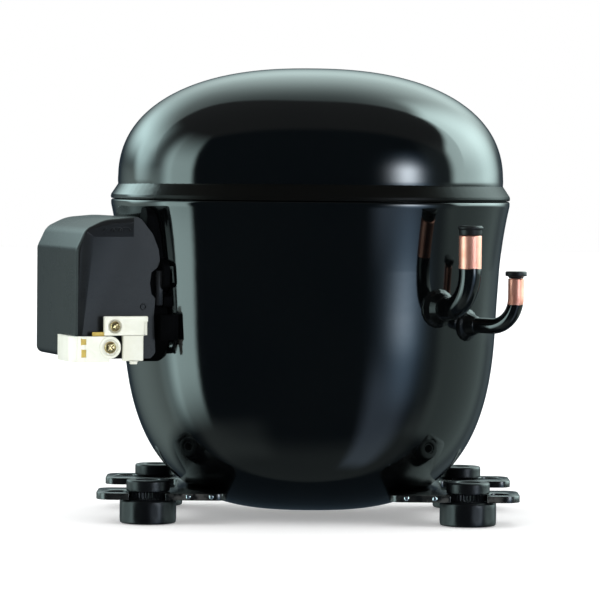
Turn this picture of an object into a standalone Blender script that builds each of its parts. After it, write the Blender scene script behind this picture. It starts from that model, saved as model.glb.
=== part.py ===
"""Hermetic reciprocating refrigeration compressor, modelled in metres with +Z up.

The welded steel casing (deep drawn dome and bowl) stands on two stamped base
plates with four rubber grommets.  The terminal box sits on the left flank,
turned towards the front, and the connector tubes leave the bowl front right
and at the back.  Inside, a motor and a single cylinder pump ride on four
suspension springs.

Frame: the sizes below are measured from the casing axis, in millimetres; the
whole assembly hangs on one empty that puts the origin under the middle of the
overall bounding box, on the plane the grommets stand on.
"""
import math

import bmesh
import bpy
from mathutils import Matrix, Vector

MM = 0.001

# ---------------------------------------------------------------- dimensions
ORIGIN_X, ORIGIN_Y = -16.5, 0.0      # bounding box centre seen from the casing axis

# casing
PLAN_N = 2.3                         # superellipse exponent of the plan outline
BOWL_RATIO, DOME_RATIO, WELD_RATIO = 0.86, 0.855, 0.8575   # depth over width
BOWL_A = 98.5                        # bowl half width below the flare
BOWL_Z0, BOWL_BOTTOM = 130.0, 3.5    # bowl wall starts to close in here, lowest point
RIM_Z = 166.0                        # top of the bowl's flared lip
DOME_A, DOME_Z0, DOME_TOP = 101.5, 176.0, 235.8
DOME_SKIRT_Z = 162.0
WALL = 3.2
SEG = 36

# base
PITCH_X, PITCH_Y = 165.1, 101.6      # mounting pitch
PLATE_Z0, PLATE_Z1 = 12.5, 16.0
PLATE_OUT, PLATE_IN, PLATE_FRONT = 109.0, 42.0, 63.0
NOTCH_X, NOTCH_Y = 70.0, 28.0
SLOT_R = 9.4
SIDE_HOLE = (95.5, 53.0, 6.0)
FOOT_R, NECK_R, FLANGE_R, FOOT_TOP = 14.5, 9.0, 11.2, 22.2
SLEEVE_R, SLEEVE_BORE = 5.7, 4.3

# terminal box, in its own frame: x outwards, y towards the front, z up
BOX_TURN = 180.0 + 19.7
BOX_X0, BOX_X1 = 101.4, 139.2
BOX_Y = 39.0
BOX_Z0, BOX_Z1 = 85.5, 157.8
BOX_WALL = 2.2
TERM_Z = 120.0

# connector tubes
SUCTION = dict(od=11.5, bore=9.7, x=65.6, side=-1, z=112.5, run=27.0, bend=19.0, top=150.1)
DISCHARGE = dict(od=8.0, bore=6.5, x=81.0, side=-1, z=103.5, run=31.0, bend=15.0, top=128.2)
PROCESS = dict(od=8.0, bore=6.5, x=-45.0, side=1, z=104.0, run=14.5, bend=9.0, top=134.0)

# pump
CYL_Z, CYL_R = 168.0, 20.0
ECC, ROD_L = 9.5, 40.0
WRIST_X = ROD_L + ECC                # wrist pin at top dead centre
DECK_X = 65.0                        # end face of the cylinder
STATOR_R, STATOR_Z0, STATOR_Z1 = 64.0, 56.0, 108.0
SPRING_X, SPRING_Y, SPRING_Z0, SPRING_Z1 = 41.5, 39.0, 24.4, 55.6

# ---------------------------------------------------------------- scene
for old in list(bpy.data.objects):
    bpy.data.objects.remove(old, do_unlink=True)
PARTS = bpy.data.collections.new("hermetic_compressor")
CUTTERS = bpy.data.collections.new("cutters")
bpy.context.scene.collection.children.link(PARTS)
bpy.context.scene.collection.children.link(CUTTERS)


def material(name, rgb, rough, metal):
    m = bpy.data.materials.new(name)
    m.use_nodes = True
    b = m.node_tree.nodes["Principled BSDF"]
    b.inputs["Base Color"].default_value = (*rgb, 1)
    b.inputs["Roughness"].default_value = rough
    b.inputs["Metallic"].default_value = metal
    return m


BLACK_PAINT = material("black_enamel", (0.012, 0.014, 0.015), 0.12, 0.0)
RUBBER = material("black_rubber", (0.018, 0.018, 0.02), 0.55, 0.0)
ZINC = material("zinc_steel", (0.55, 0.55, 0.52), 0.35, 1.0)
COPPER = material("copper_plate", (0.85, 0.47, 0.34), 0.25, 1.0)
BLACK_PLASTIC = material("black_plastic", (0.035, 0.038, 0.045), 0.45, 0.0)
WHITE_NYLON = material("white_nylon", (0.82, 0.84, 0.74), 0.4, 0.0)
BRASS_PASSIVATED = material("yellow_passivated_steel", (0.62, 0.46, 0.25), 0.35, 1.0)
STEEL = material("machined_steel", (0.5, 0.5, 0.5), 0.3, 1.0)
CAST = material("cast_iron", (0.16, 0.16, 0.16), 0.6, 0.6)
LAMINATION = material("electrical_steel", (0.25, 0.26, 0.28), 0.45, 0.9)
WINDING = material("enamelled_copper", (0.55, 0.2, 0.07), 0.35, 0.7)
ALUMINIUM = material("die_cast_aluminium", (0.62, 0.63, 0.64), 0.4, 1.0)
NYLON_BLUE = material("muffler_plastic", (0.72, 0.71, 0.66), 0.5, 0.0)
GLASS = material("terminal_glass", (0.1, 0.22, 0.16), 0.15, 0.0)
FIBRE = material("gasket_fibre", (0.2, 0.22, 0.24), 0.8, 0.0)

FRAME = bpy.data.objects.new("casing_axis", None)
FRAME.location = (-ORIGIN_X * MM, -ORIGIN_Y * MM, 0)
PARTS.objects.link(FRAME)
BOX = bpy.data.objects.new("terminal_box_axis", None)
BOX.parent = FRAME
BOX.rotation_euler = (0, 0, math.radians(BOX_TURN))
PARTS.objects.link(BOX)


# ---------------------------------------------------------------- helpers
def put(name, mesh, mat, parent=FRAME, smooth=True):
    """A finished part: one named object in the parts collection."""
    obj = bpy.data.objects.new(name, mesh)
    PARTS.objects.link(obj)
    obj.parent = parent
    mesh.name = name
    mesh.materials.clear()
    mesh.materials.append(mat)
    if smooth:
        mesh.shade_smooth()
        mesh.set_sharp_from_angle(angle=math.radians(35))
    return obj


def helper(mesh, name="cutter"):
    """A cutter or a blank that only shapes other parts."""
    obj = bpy.data.objects.new(name, mesh)
    CUTTERS.objects.link(obj)
    obj.hide_render = True
    obj.display_type = "WIRE"
    return obj


def mesh_of(obj):
    """The evaluated mesh of a helper, welded, after which the helper is removed."""
    graph = bpy.context.evaluated_depsgraph_get()
    mesh = bpy.data.meshes.new_from_object(obj.evaluated_get(graph))
    matrix = obj.matrix_world.copy()
    bpy.data.objects.remove(obj, do_unlink=True)
    mesh.transform(matrix)
    return mesh


def tidy(mesh, weld=1e-6):
    bm = bmesh.new()
    bm.from_mesh(mesh)
    bmesh.ops.remove_doubles(bm, verts=bm.verts, dist=weld)
    bmesh.ops.recalc_face_normals(bm, faces=bm.faces)
    bm.to_mesh(mesh)
    bm.free()
    return mesh


def moved(mesh, at=(0, 0, 0), turn=None):
    if turn is not None:
        mesh.transform(turn)
    mesh.transform(Matrix.Translation(Vector(at) * MM))
    return mesh


TO_X = Matrix.Rotation(math.radians(90), 4, "Y")      # +Z goes to +X
TO_Y = Matrix.Rotation(math.radians(-90), 4, "X")     # +Z goes to +Y


def lathe(profile, seg, ring=True):
    """A turned mesh about Z.  ring: the profile is a closed loop off the axis,
    otherwise it runs from the axis back to the axis."""
    mesh = bpy.data.meshes.new("profile")
    edges = [(i, i + 1) for i in range(len(profile) - 1)]
    if ring:
        edges.append((len(profile) - 1, 0))
    mesh.from_pydata([(r * MM, 0, z * MM) for r, z in profile], edges, [])
    obj = helper(mesh, "profile")
    screw = obj.modifiers.new("turn", "SCREW")
    screw.steps = screw.render_steps = seg
    screw.use_merge_vertices = True
    screw.merge_threshold = 1e-6
    bpy.context.view_layer.update()
    return tidy(mesh_of(obj))


def cylinder(r, z0, z1, seg=24, r2=None):
    mesh = bpy.data.meshes.new("cylinder")
    bm = bmesh.new()
    bmesh.ops.create_cone(bm, cap_ends=True, segments=seg, radius1=r * MM,
                          radius2=(r if r2 is None else r2) * MM, depth=(z1 - z0) * MM)
    bmesh.ops.translate(bm, verts=bm.verts, vec=(0, 0, (z0 + z1) / 2 * MM))
    bm.to_mesh(mesh)
    bm.free()
    return mesh


def block(x0, x1, y0, y1, z0, z1, bevel=0.0, seg=2):
    mesh = bpy.data.meshes.new("block")
    bm = bmesh.new()
    bmesh.ops.create_cube(bm, size=1.0)
    bmesh.ops.scale(bm, verts=bm.verts, vec=((x1 - x0) * MM, (y1 - y0) * MM, (z1 - z0) * MM))
    bmesh.ops.translate(bm, verts=bm.verts,
                        vec=((x0 + x1) / 2 * MM, (y0 + y1) / 2 * MM, (z0 + z1) / 2 * MM))
    bm.to_mesh(mesh)
    bm.free()
    if bevel:
        obj = helper(mesh, "block")
        mod = obj.modifiers.new("edges", "BEVEL")
        mod.width = bevel * MM
        mod.segments = seg
        mod.limit_method = "ANGLE"
        bpy.context.view_layer.update()
        mesh = mesh_of(obj)
    return mesh


def outline(loops, z0, z1):
    """A flat outline with any number of holes, as a filled 2D curve with thickness."""
    curve = bpy.data.curves.new("outline", "CURVE")
    curve.dimensions = "2D"
    curve.fill_mode = "BOTH"
    curve.extrude = (z1 - z0) / 2 * MM
    for loop in loops:
        spline = curve.splines.new("POLY")
        spline.points.add(len(loop) - 1)
        for p, (x, y) in zip(spline.points, loop):
            p.co = (x * MM, y * MM, 0, 1)
        spline.use_cyclic_u = True
    obj = helper(curve, "outline")
    obj.location.z = (z0 + z1) / 2 * MM
    bpy.context.view_layer.update()
    return tidy(mesh_of(obj))


def rod(points, r, res=2, cyclic=False, open_ends=False):
    """A round bar along the points."""
    curve = bpy.data.curves.new("rod", "CURVE")
    curve.dimensions = "3D"
    curve.bevel_depth = r * MM
    curve.bevel_resolution = res
    curve.use_fill_caps = not (cyclic or open_ends)
    spline = curve.splines.new("POLY")
    spline.points.add(len(points) - 1)
    for p, c in zip(spline.points, points):
        p.co = (c[0] * MM, c[1] * MM, c[2] * MM, 1)
    spline.use_cyclic_u = cyclic
    obj = helper(curve, "rod")
    bpy.context.view_layer.update()
    return tidy(mesh_of(obj))


def pipe(points, r, wall, res=2):
    """A thin tube along the points: an open skin made thick inwards."""
    mesh = rod(points, r, res, open_ends=True)
    return thickened(mesh, wall)


def thickened(mesh, wall):
    obj = helper(mesh, "skin")
    mod = obj.modifiers.new("wall", "SOLIDIFY")
    mod.thickness = wall * MM
    mod.offset = -1
    mod.use_even_offset = True
    bpy.context.view_layer.update()
    return tidy(mesh_of(obj))


def combined(base, others, how):
    """base with the other meshes joined to it or cut from it."""
    obj = helper(base, "base")
    cutters = [helper(m) for m in others]
    for i, c in enumerate(cutters):
        mod = obj.modifiers.new(f"{how}_{i}", "BOOLEAN")
        mod.operation = how
        mod.solver = "EXACT"
        mod.object = c
    bpy.context.view_layer.update()
    mesh = mesh_of(obj)
    for c in cutters:
        bpy.data.objects.remove(c, do_unlink=True)
    return tidy(mesh, 2e-6)


def cut(base, *others):
    return combined(base, others, "DIFFERENCE")


def joined(base, *others):
    return combined(base, others, "UNION")


def arc(cx, cy, r, a0, a1, n):
    return [(cx + r * math.cos(math.radians(a0 + (a1 - a0) * i / n)),
             cy + r * math.sin(math.radians(a0 + (a1 - a0) * i / n))) for i in range(n + 1)]


def smooth(t):
    t = min(1.0, max(0.0, t))
    return t * t * (3 - 2 * t)


# ---------------------------------------------------------------- casing shape
def bowl_half_width(z):
    """Half width of the bowl at height z: a superellipse bottom under a slightly
    drafted wall, opening into a flared lip."""
    t = min(1.0, max(0.0, (BOWL_Z0 - z) / (BOWL_Z0 - BOWL_BOTTOM)))
    flare = 2.3 * smooth((z - 90) / 50) + 4.2 * min(1.0, max(0.0, (z - 143) / 21))
    return BOWL_A * (1 - t ** 3) ** (1 / 3) + flare


def dome_half_width(z):
    t = min(1.0, max(0.0, (z - DOME_Z0) / (DOME_TOP - DOME_Z0)))
    inset = 0.9 * min(1.0, max(0.0, (DOME_Z0 - z) / (DOME_Z0 - DOME_SKIRT_Z)))
    return DOME_A * (1 - t ** 2.33) ** (1 / 2.33) - inset


def to_plan(mesh, ratio):
    """Turns a round mesh into the casing's superellipse plan."""
    for v in mesh.vertices:
        rho = math.hypot(v.co.x, v.co.y)
        if rho < 1e-9:
            continue
        c, s = v.co.x / rho, v.co.y / rho
        k = (abs(c) ** PLAN_N + abs(s / ratio) ** PLAN_N) ** (-1 / PLAN_N)
        v.co.x, v.co.y = rho * k * c, rho * k * s
    return mesh


def bowl_profile(grow=0.0):
    """From the lip down to the axis.  The rings crowd where the wall turns in."""
    zs = [RIM_Z, 158.0, 150.0, 142.0, 125.0, 105.0]
    for a in (16, 28, 39, 49, 58, 67, 76, 84):
        u = math.cos(math.radians(a)) ** (2 / 3)
        zs.append(BOWL_Z0 - (BOWL_Z0 - BOWL_BOTTOM) * (1 - u ** 3) ** (1 / 3))
    zs = [z for i, z in enumerate(zs) if i == 0 or z < zs[i - 1] - 1]
    points = [(bowl_half_width(z) + grow, z - (grow if z < 60 else 0)) for z in zs]
    return points + [(0.0, BOWL_BOTTOM - grow)]


def wall_point(x, side, z):
    """A point of the bowl's outside at this x and height, and the way out of it."""
    a = bowl_half_width(z)
    b = a * BOWL_RATIO
    y = side * b * (1 - abs(x / a) ** PLAN_N) ** (1 / PLAN_N)
    nx = math.copysign(abs(x) ** (PLAN_N - 1) / a ** PLAN_N, x)
    ny = math.copysign(abs(y) ** (PLAN_N - 1) / b ** PLAN_N, y)
    d = math.hypot(nx, ny)
    return Vector((x, y, z)), Vector((nx / d, ny / d, 0))


def bowl_cutter(grow):
    """The bowl's outside as a solid, grown a little, to trim what is welded on."""
    return to_plan(lathe([(0.0, RIM_Z + 6), (bowl_half_width(RIM_Z) + grow, RIM_Z + 6)]
                         + bowl_profile(grow), SEG, ring=False), BOWL_RATIO)


# ---------------------------------------------------------------- casing parts
def make_casing():
    skin = to_plan(lathe(bowl_profile(), SEG, ring=False), BOWL_RATIO)
    bowl = thickened(skin, WALL)
    pins = []
    for sx in (-1, 1):
        for sy in (-1, 1):
            seat = lathe([(0, 36), (4.0, 36), (4.0, 23.8), (8.2, 23.8), (8.2, 19.4), (0, 19.4)], 16, ring=False)
            pins.append(moved(seat, (sx * SPRING_X, sy * SPRING_Y, 0)))
    bowl = joined(bowl, *pins)
    holes = []
    for t in (SUCTION, DISCHARGE, PROCESS):
        p, n = wall_point(t["x"], t["side"], t["z"])
        turn = n.to_track_quat("Z", "Y").to_matrix().to_4x4()
        hole = cylinder(t["od"] / 2 + 0.4, -14, 8, 20)
        hole.transform(turn)
        holes.append(moved(hole, p))
    socket = cylinder(16.4, 80, 112, 28)
    socket.transform(Matrix.Translation((0, 0, TERM_Z * MM)) @ TO_X)
    socket.transform(Matrix.Rotation(math.radians(BOX_TURN), 4, "Z"))
    put("lower_shell", cut(bowl, *holes, socket), BLACK_PAINT)

    zs = [DOME_SKIRT_Z, 170.0, 178.0, 186.0]
    for a in (33, 43, 52, 61, 70, 78, 85):
        u = math.cos(math.radians(a)) ** (2 / 2.33)
        zs.append(DOME_Z0 + (DOME_TOP - DOME_Z0) * (1 - u ** 2.33) ** (1 / 2.33))
    profile = [(0.0, DOME_TOP)] + [(dome_half_width(z), z) for z in reversed(zs)]
    put("upper_shell", thickened(to_plan(lathe(profile, SEG, ring=False), DOME_RATIO), WALL), BLACK_PAINT)

    bead = [(102.5, 175.4), (104.0, 172.2), (105.0, 169.4), (105.0, 167.0),
            (101.75, 167.0), (101.95, 171.6), (102.05, 175.4)]
    put("seam_weld", to_plan(lathe(bead, SEG), WELD_RATIO), BLACK_PAINT)


# ---------------------------------------------------------------- base
def make_base():
    hx, hy = PITCH_X / 2, PITCH_Y / 2
    cx, cy, cr = SIDE_HOLE
    half = [(NOTCH_X, 0.0), (NOTCH_X, NOTCH_Y - 3), (NOTCH_X + 3, NOTCH_Y), (PLATE_OUT - 6, NOTCH_Y),
            (PLATE_OUT, NOTCH_Y + 6), (PLATE_OUT, PLATE_FRONT - 7), (PLATE_OUT - 7, PLATE_FRONT)]
    slot = [(hx + SLOT_R, PLATE_FRONT)] + arc(hx, hy, SLOT_R, 0, -180, 10) + [(hx - SLOT_R, PLATE_FRONT)]
    arm = [(PLATE_IN + 6, PLATE_FRONT), (PLATE_IN, PLATE_FRONT - 6), (PLATE_IN, 30.0), (50.0, 0.0)]
    upper = half + slot + arm                       # quarter above y = 0
    lower = [(x, -y) for x, y in reversed(upper[1:-1])]
    for name, sx in (("base_plate_left", -1), ("base_plate_right", 1)):
        mesh = outline([[(sx * x, y) for x, y in upper + lower]], PLATE_Z0, PLATE_Z1)
        cuts = [bowl_cutter(0.35)]
        for sy in (-1, 1):
            cuts.append(moved(cylinder(cr, PLATE_Z0 - 2, PLATE_Z1 + 2, 16), (sx * cx, sy * cy, 0)))
        put(name, cut(mesh, *cuts), BLACK_PAINT, smooth=False)
    rubber = [(FOOT_R, 0), (FOOT_R, 11.4), (FOOT_R - 0.8, 12.2), (NECK_R, 12.2), (NECK_R, 16.3),
              (FLANGE_R, 16.3), (FLANGE_R, FOOT_TOP - 1), (FLANGE_R - 1, FOOT_TOP),
              (SLEEVE_R + 0.35, FOOT_TOP), (SLEEVE_R + 0.35, 0)]
    sleeve = [(SLEEVE_R, 1.0), (SLEEVE_R, FOOT_TOP - 0.6), (SLEEVE_BORE, FOOT_TOP - 0.6), (SLEEVE_BORE, 1.0)]
    for fb, sy in (("front", -1), ("rear", 1)):
        for lr, sx in (("left", -1), ("right", 1)):
            at = (sx * hx, sy * hy, 0)
            put(f"grommet_{fb}_{lr}", moved(lathe(rubber, 18), at), RUBBER)
            put(f"grommet_sleeve_{fb}_{lr}", moved(lathe(sleeve, 18), at), ZINC)


# ---------------------------------------------------------------- tubes
def tube_path(t):
    """Centre line: out of the wall, round the bend and up."""
    p, n = wall_point(t["x"], t["side"], t["z"])
    foot = p + n * t["run"]
    r = t["bend"]
    points = [p - n * 9.0, p + n * (t["run"] - r)]
    for i in range(1, 6):
        a = math.radians(90 * i / 6)
        points.append(p + n * (t["run"] - r + r * math.sin(a)) + Vector((0, 0, r * (1 - math.cos(a)))))
    points += [foot + Vector((0, 0, r)), Vector((foot.x, foot.y, t["top"]))]
    return p, n, foot, points


def make_tube(name, t, plug_name):
    p, n, foot, points = tube_path(t)
    tube = pipe(points, t["od"] / 2, (t["od"] - t["bore"]) / 2, 3)
    turn = n.to_track_quat("Z", "Y").to_matrix().to_4x4()
    r = t["od"] / 2
    collar = lathe([(r + 3.6, -1.5), (r + 3.4, 1.6), (r + 1.6, 3.6), (r + 0.6, 6.5), (r - 0.4, 6.5), (r - 0.4, -1.5)], 20)
    collar.transform(turn)
    collar = cut(moved(collar, p), bowl_cutter(0.35))
    put(name, joined(tube, collar), COPPER)
    # rubber transit plug: a flanged cap with its spigot in the tube's mouth
    b = t["bore"] / 2 * math.cos(math.pi / 10) - 0.35
    head = r + (0.7 if t is SUCTION else 1.6)
    top = t["top"]
    plug = lathe([(0, top + 5.0 if t is SUCTION else top + 3.6), (head - 0.6, top + 5.0 if t is SUCTION else top + 3.6),
                  (head, top + 4.4 if t is SUCTION else top + 3.0), (head, top + 1.4 if t is SUCTION else top + 1.0),
                  (r - 0.2, top + 0.35), (b, top + 0.35), (b, top - 6.0), (b - 0.7, top - 7.0), (0, top - 7.0)], 20, ring=False)
    put(plug_name, moved(plug, (foot.x, foot.y, 0)), RUBBER)


# ---------------------------------------------------------------- terminal box
def make_terminal_box():
    # black frame welded to the flank, trimmed to the bowl
    h = 2.0
    ring_out = [(-34.9, 88), (-31.5, 83.5), (28, 83.5), (34.9, 94), (34.9, 158.5), (31.5, 162.5), (-31.5, 162.5), (-34.9, 158.5)]
    ring_in = [(-27, 101), (27, 101), (27, 141), (-27, 141)]
    plate = outline([ring_out, ring_in], 84.0, 100.9)
    # the curve lies in XY, so it is stood up: its x runs along the box's y, its y up, its depth outwards
    stand = Matrix(((0, 0, 1, 0), (1, 0, 0, 0), (0, 1, 0, 0), (0, 0, 0, 1)))
    plate.transform(stand)
    loop = outline([[(33.2, 118.6), (40.8, 122.0), (40.8, 134.0), (33.2, 137.4)]], 90.5, 94.0)
    loop.transform(stand)
    eye = block(88, 99, 36.9, 39.3, 123.6, 132.4)
    catch = block(86.4, 95.8, 32.6, 43.0, 95.0, 108.0, 0.6, 1)
    turn = Matrix.Rotation(math.radians(BOX_TURN), 4, "Z")
    trim = bowl_cutter(0.35)
    trim.transform(turn.inverted())
    fence = cut(cut(joined(plate, loop, catch), eye), trim)
    put("terminal_fence", fence, BLACK_PLASTIC, BOX, smooth=False)

    cup = lathe([(16.0, 98.0), (16.0, 103.2), (12.4, 103.2), (12.4, 95.2), (16.0, 95.2)], 24)
    cup.transform(TO_X)
    put("terminal_cup", moved(cup, (0, 0, TERM_Z)), ZINC, BOX)
    pins = {"common": (7.0, 0.0), "start": (-4.5, 6.0), "run": (-4.5, -6.0)}
    disc = cylinder(12.1, 96.0, 102.0, 24)
    disc.transform(TO_X)
    moved(disc, (0, 0, TERM_Z))
    wells = []
    for y, z in pins.values():
        w = cylinder(1.9, 90, 108, 10)
        w.transform(TO_X)
        wells.append(moved(w, (0, y, TERM_Z + z)))
    put("terminal_insulator", cut(disc, *wells), GLASS, BOX)
    for key, (y, z) in pins.items():
        pin = cylinder(1.6, 88.0, 112.0, 10)
        pin.transform(TO_X)
        put(f"terminal_pin_{key}", moved(pin, (0, y, TERM_Z + z)), STEEL, BOX)

    relay = block(104.2, 126.0, -32.0, -1.0, 104.0, 143.0, 1.5, 1)
    pockets = []
    for key in ("start", "run"):
        y, z = pins[key]
        w = cylinder(2.0, 100, 113.5, 10)
        w.transform(TO_X)
        pockets.append(moved(w, (0, y, TERM_Z + z)))
    put("start_relay", cut(relay, *pockets), BLACK_PLASTIC, BOX)
    over = lathe([(0, 104.4), (12.5, 104.4), (13.4, 105.4), (13.4, 118.0), (11.5, 121.5), (0, 121.5)], 24, ring=False)
    over.transform(TO_X)
    moved(over, (0, 16.0, 119.0))
    y, z = pins["common"]
    w = cylinder(2.0, 100, 113.5, 10)
    w.transform(TO_X)
    put("overload_protector", cut(over, moved(w, (0, y, TERM_Z + z))), BLACK_PLASTIC, BOX)

    # snap-on cover: the side profile drawn in the box's x and z, given the box's width
    side = [(BOX_X0, BOX_Z0), (BOX_X1, BOX_Z0), (BOX_X1, 140.0), (BOX_X1 - 1.8, 146.0), (BOX_X1 - 5.2, 151.0),
            (BOX_X1 - 10.0, 154.2), (BOX_X1 - 17.0, 156.4), (BOX_X1 - 26.0, BOX_Z1), (BOX_X0 + 5.0, BOX_Z1), (BOX_X0, 139.0)]
    inner = [(BOX_X0 - 4, BOX_Z0 + 2), (BOX_X1 - BOX_WALL, BOX_Z0 + 2), (BOX_X1 - BOX_WALL, 139.5), (BOX_X1 - 4.0, 145.0),
             (BOX_X1 - 6.9, 149.3), (BOX_X1 - 11.2, 152.1), (BOX_X1 - 17.6, 154.2), (BOX_X1 - 26.2, 155.5), (BOX_X0 - 4, 155.5)]
    lay = Matrix(((1, 0, 0, 0), (0, 0, -1, 0), (0, 1, 0, 0), (0, 0, 0, 1)))
    body = outline([side], -BOX_Y, BOX_Y)
    body.transform(lay)
    obj = helper(body, "cover_blank")
    mod = obj.modifiers.new("edges", "BEVEL")
    mod.width = 3.0 * MM
    mod.segments = 2
    mod.limit_method = "ANGLE"
    mod.angle_limit = math.radians(60)
    bpy.context.view_layer.update()
    body = mesh_of(obj)
    hollow = outline([inner], -BOX_Y + BOX_WALL, BOX_Y - BOX_WALL)
    hollow.transform(lay)
    cord_way = block(112, 132, 4, 32, BOX_Z0 - 3, BOX_Z0 + 4)
    hollows = [hollow, cord_way]
    for cx, cz, cr in ((122.4, 91.6, 2.0), (119.9, 102.3, 1.7)):
        c = cylinder(cr, 30, 48, 10)
        c.transform(TO_Y)
        hollows.append(moved(c, (cx, 0, cz)))
    put("terminal_cover", cut(tidy(body), *hollows), BLACK_PLASTIC, BOX)

    # white cord clamp on the front corner: body, strap and two screws
    y0, y1 = BOX_Y + 0.3, BOX_Y + 3.6
    body = joined(block(102.4, 125.4, y0, y1, 97.6, 107.4), block(104.6, 115.4, y0, y1 - 0.4, 84.6, 98.4))
    hole = cylinder(1.8, 30, 50, 10)
    hole.transform(TO_Y)
    put("cord_clamp_body", cut(body, moved(hole, (119.9, 0, 102.3))), WHITE_NYLON, BOX, smooth=False)
    x1 = BOX_X1 + 0.3
    band = [(x1, 11.4), (x1 + 1.9, 11.4), (x1 + 2.8, 35.0), (136.0, y0 + 3.4), (122.4, y0 + 2.3), (122.4, y0), (x1 - 1.8, y0), (x1, y0 - 1.8)]
    strap = outline([band], 84.2, 97.2)
    boss = cylinder(5.6, y0, y0 + 3.4, 24)
    boss.transform(TO_Y)
    moved(boss, (122.4, 0, 91.6))
    hole = cylinder(2.1, 30, 50, 10)
    hole.transform(TO_Y)
    put("cord_clamp_strap", cut(joined(strap, boss), moved(hole, (122.4, 0, 91.6))), WHITE_NYLON, BOX, smooth=False)
    for key, (x, z, head, shank, y) in {"lower": (122.4, 91.6, 2.9, 1.5, y0 + 3.7), "upper": (119.9, 102.3, 2.4, 1.3, y1 + 0.3)}.items():
        screw = lathe([(0, y + 2.0), (head * 0.45, y + 1.9), (head * 0.85, y + 1.3), (head, y + 0.4), (head, y),
                       (shank, y), (shank, y - 9.0), (0, y - 9.6)], 16, ring=False)
        cross = [block(-head * 0.62, head * 0.62, -0.3, 0.3, y + 1.0, y + 3), block(-0.3, 0.3, -head * 0.62, head * 0.62, y + 1.0, y + 3)]
        screw = cut(screw, *cross)
        screw.transform(TO_Y)
        put(f"cord_clamp_screw_{key}", moved(screw, (x, 0, z)), BRASS_PASSIVATED, BOX)


# ---------------------------------------------------------------- motor and pump
def make_motor():
    put("stator_core", lathe([(STATOR_R, STATOR_Z1), (STATOR_R, STATOR_Z0), (34.0, STATOR_Z0), (34.0, STATOR_Z1)], 32), LAMINATION)
    for name, z0, z1 in (("lower_end_winding", 39.0, STATOR_Z0 - 0.3), ("upper_end_winding", STATOR_Z1 + 0.3, 124.0)):
        low = name.startswith("lower")
        flat, free = (z1, z0) if low else (z0, z1)
        s = -1 if low else 1
        ring = [(48.0, flat), (36.5, flat), (36.5, free - 4 * s), (39.5, free), (45.0, free), (48.0, free - 4 * s)]
        put(name, lathe(ring, 24), WINDING)
    put("rotor", lathe([(33.2, 110.0), (33.2, 54.0), (10.3, 54.0), (10.3, 110.0)], 32), LAMINATION)
    weight = outline([arc(0, 0, 30.0, 200, 340, 12) + arc(0, 0, 15.0, 340, 200, 8)], 47.5, 53.7)
    put("rotor_counterweight", weight, STEEL)


def make_crank():
    shaft = cylinder(10.0, 44.0, 141.5, 24)
    web = outline([arc(0, 0, 27.5, 120, 240, 12) + arc(0, 0, 21.0, -120, 120, 16)], 141.0, 147.4)
    bore = cylinder(5.3, 40.0, 66.0, 16)
    put("crankshaft", cut(joined(shaft, web), bore), STEEL)
    pick = lathe([(5.0, 64.0), (5.0, 40.0), (3.0, 17.0), (2.0, 17.0), (3.8, 40.0), (3.8, 64.0)], 16)
    put("oil_pickup", pick, STEEL)
    put("thrust_washer", lathe([(17.0, 140.7), (17.0, 139.4), (10.4, 139.4), (10.4, 140.7)], 20), STEEL)
    pin = cylinder(8.0, 147.7, 178.0, 20)
    put("crank_pin", moved(pin, (ECC, 0, 0)), STEEL)


def make_running_gear():
    z0, z1 = CYL_Z - 7, CYL_Z + 7
    big = moved(cylinder(14.0, z0, z1, 28), (ECC, 0, 0))
    small = moved(cylinder(8.6, z0 + 1, z1 - 1, 24), (WRIST_X, 0, 0))
    shank = block(ECC + 4, WRIST_X - 4, -5, 5, CYL_Z - 4, CYL_Z + 4)
    rod_mesh = cut(joined(big, small, shank), moved(cylinder(8.3, z0 - 2, z1 + 2, 20), (ECC, 0, 0)),
                   moved(cylinder(5.3, z0 - 2, z1 + 2, 20), (WRIST_X, 0, 0)))
    put("connecting_rod", rod_mesh, ALUMINIUM)
    skirt, crown = WRIST_X - 13, WRIST_X + 14
    piston = lathe([(0, crown), (19.6, crown), (19.6, skirt), (15.5, skirt), (15.5, crown - 4.0), (0, crown - 4.0)], 28, ring=False)
    piston.transform(TO_X)
    moved(piston, (0, 0, CYL_Z))
    put("piston", cut(piston, moved(cylinder(5.3, CYL_Z - 24, CYL_Z + 24, 20), (WRIST_X, 0, 0))), STEEL)
    pin = moved(cylinder(5.0, CYL_Z - 18.5, CYL_Z + 18.5, 20), (WRIST_X, 0, 0))
    put("wrist_pin", pin, STEEL)


def make_block():
    base = outline([[(-44, -50), (52, -50), (60, -40), (60, 40), (52, 50), (-44, 50), (-52, 42), (-52, -42)]], 129.0, 139.1)
    hub = cylinder(17.0, 112.5, 130.0, 24)
    barrel = cylinder(26.0, 29.5, DECK_X, 32)
    barrel.transform(TO_X)
    moved(barrel, (0, 0, CYL_Z))
    saddle = block(29.5, 60, -22, 22, 138, 160)
    flange = block(56, DECK_X, -28, 28, CYL_Z - 28, CYL_Z + 28, 4, 1)
    legs = [moved(cylinder(6.0, STATOR_Z1 + 0.3, 130.0, 12), (sx * 40, sy * 42, 0)) for sx in (-1, 1) for sy in (-1, 1)]
    bore = cylinder(CYL_R, 20, DECK_X + 4, 32)
    bore.transform(TO_X)
    moved(bore, (0, 0, CYL_Z))
    body = joined(base, hub, barrel, saddle, flange, *legs)
    taps = []
    for sy in (-1, 1):
        for sz in (-1, 1):
            tap = cylinder(2.8, DECK_X - 14, DECK_X + 3, 10)
            tap.transform(TO_X)
            taps.append(moved(tap, (0, sy * 22.5, CYL_Z + sz * 22.5)))
    body = cut(body, bore, cylinder(10.3, 105, 145, 24), *taps)
    put("cylinder_block", body, CAST)


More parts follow.
